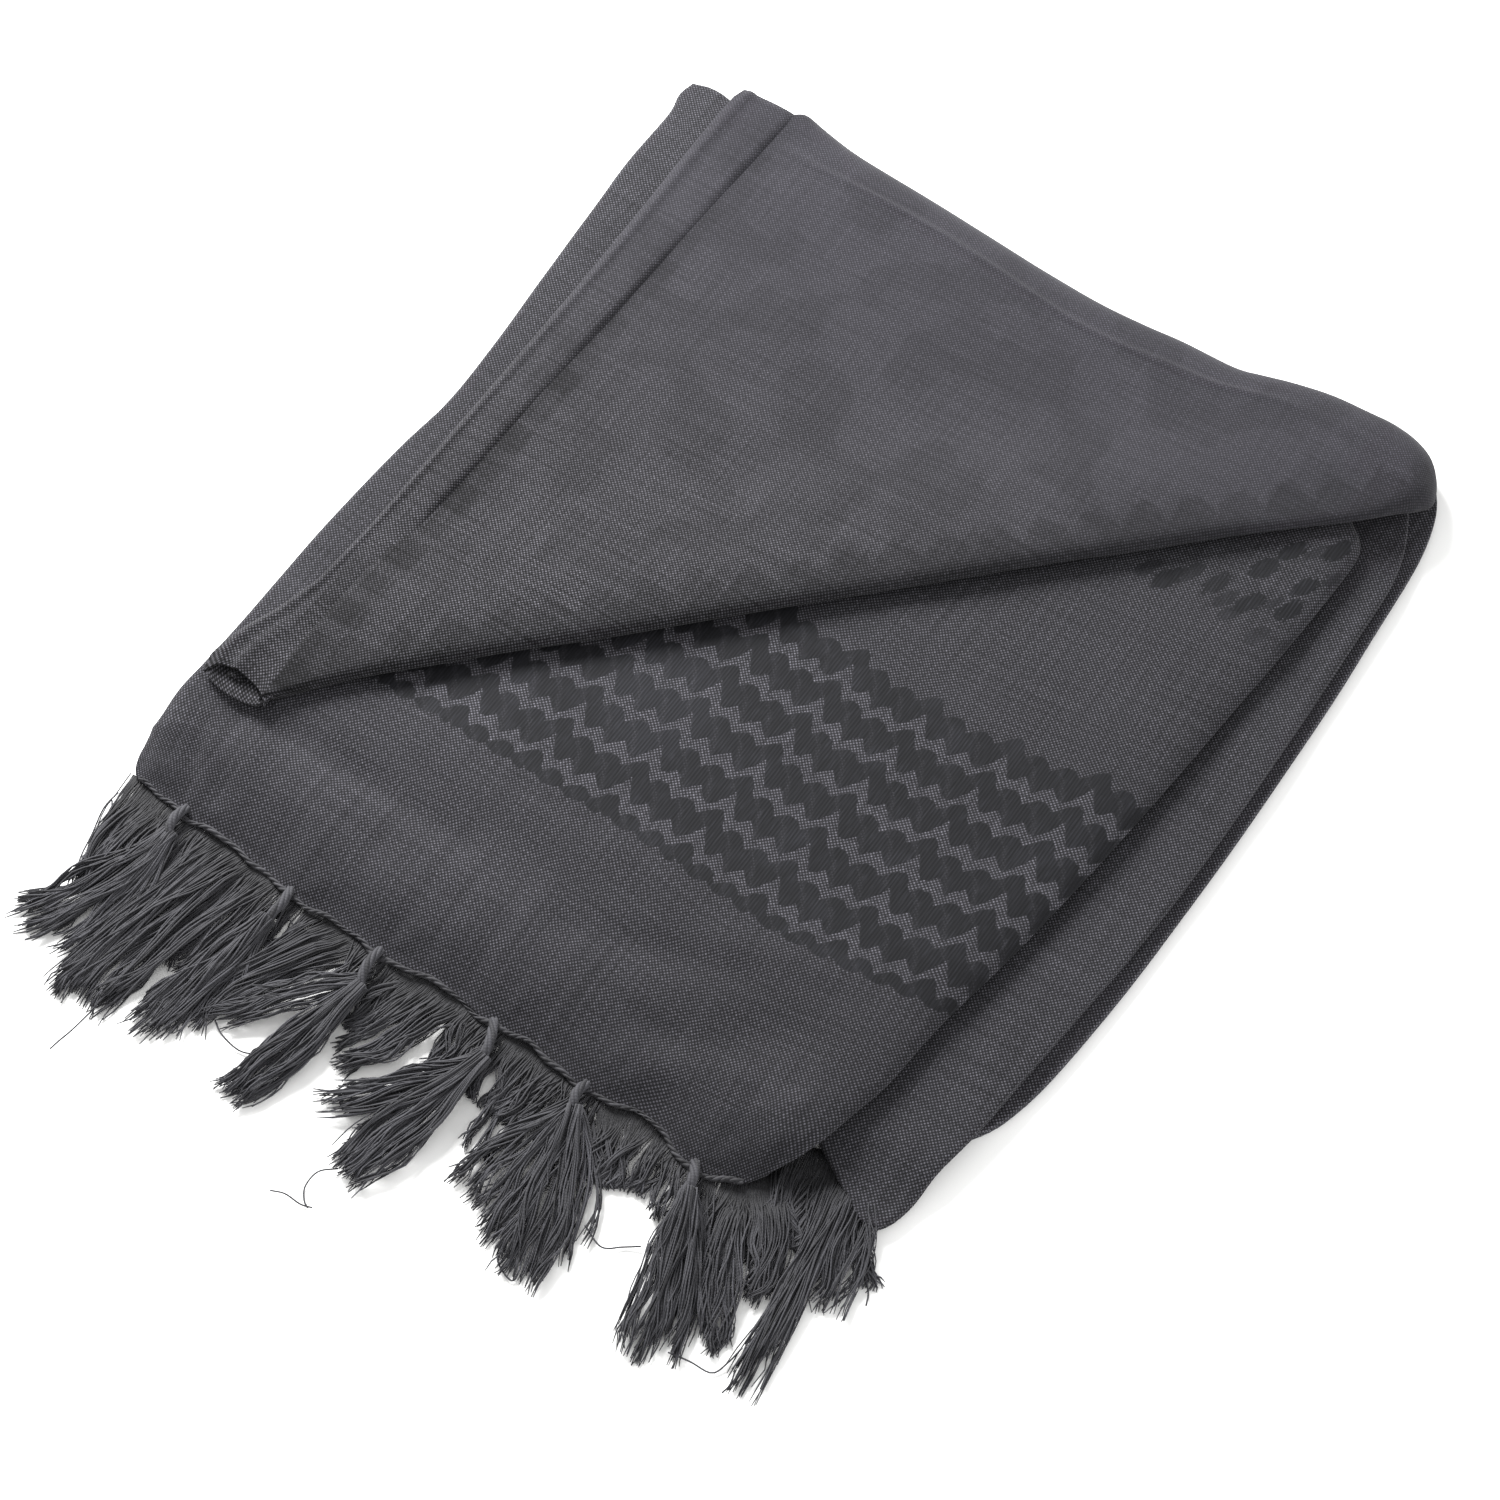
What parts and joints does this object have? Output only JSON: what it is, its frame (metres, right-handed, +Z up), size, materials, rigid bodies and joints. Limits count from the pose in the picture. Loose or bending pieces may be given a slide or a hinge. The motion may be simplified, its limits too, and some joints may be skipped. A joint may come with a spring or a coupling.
{
  "type": "folded woven scarf",
  "caption": "Square charcoal cotton scarf with a tone-on-tone woven band and knotted fringe, folded flat with one corner turned back.",
  "frame": {"origin": "point of the lowest folded panel's flat underside, on the resting surface, near the middle of the folded cloth", "axes": "+X along the fringed hem, from its left end to its right as seen from the hem; +Y from the hem to the far fold; +Z up from the resting surface"},
  "size_m": [0.2863, 0.3847, 0.0215],
  "materials": {
    "cloth": "matt plain weave with floats",
    "thread": "matt cotton thread"
  },
  "bodies": {
    "root": {"bottom_panel": "cloth", "middle_panel": "cloth", "folded_stack": "cloth", "top_panel": "cloth", "turned_back_flap": "cloth", "flap_turned_margin": "cloth", "knotted_tassel_1": "thread", "knotted_tassel_2": "thread", "knotted_tassel_3": "thread", "knotted_tassel_4": "thread", "knotted_tassel_5": "thread", "knotted_tassel_6": "thread", "loose_fringe_1": "thread", "loose_fringe_2": "thread", "loose_fringe_3": "thread", "loose_fringe_4": "thread", "loose_fringe_5": "thread", "loose_fringe_6": "thread", "loose_fringe_7": "thread", "loose_fringe_8": "thread", "loose_fringe_9": "thread", "loose_fringe_10": "thread", "loose_fringe_11": "thread"}
  },
  "joints": []
}
